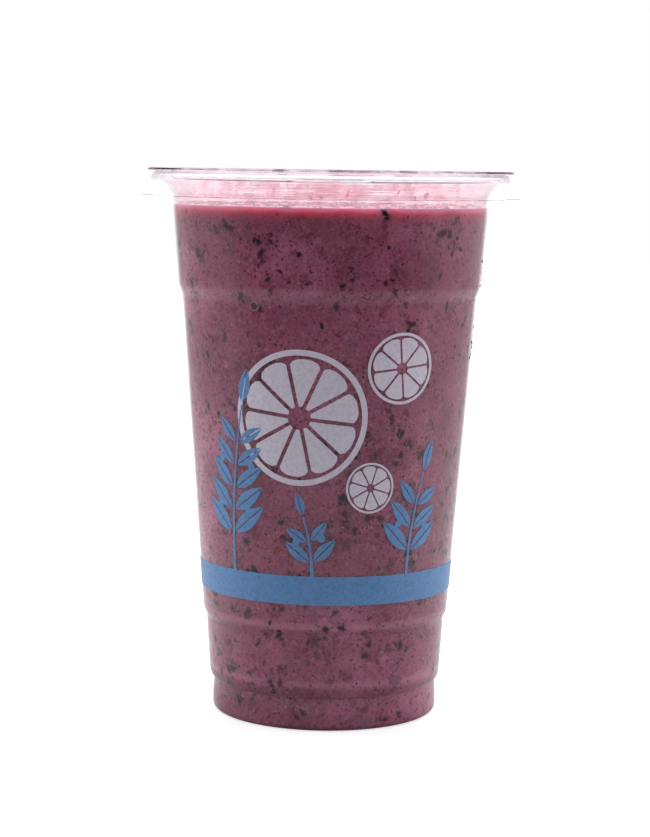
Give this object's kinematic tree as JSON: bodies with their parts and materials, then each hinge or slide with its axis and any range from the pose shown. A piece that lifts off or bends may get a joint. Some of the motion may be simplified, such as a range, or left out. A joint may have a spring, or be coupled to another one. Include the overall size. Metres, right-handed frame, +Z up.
{
  "type": "acai smoothie cup",
  "caption": "Takeaway cup of thick berry smoothie: a clear tapered plastic cup with stepped walls, filled nearly to the rim, under a clear flat press-on lid.",
  "frame": {"origin": "on the cup's axis, level with the face that the cup stands on", "axes": "+Z up along the cup's axis, towards the lid; -Y is the side that the picture shows"},
  "size_m": [0.1042, 0.1042, 0.1493],
  "materials": {
    "clear_cup": "clear recycled PET sheet, thermoformed, glossy",
    "acai_blend": "thick blended berries, mauve pink with dark skins and pale seeds, wet against the cup",
    "clear_lid": "thin clear PET sheet, glossy"
  },
  "bodies": {
    "root": {"cup": "clear_cup", "smoothie": "acai_blend", "lid": "clear_lid"}
  },
  "joints": []
}
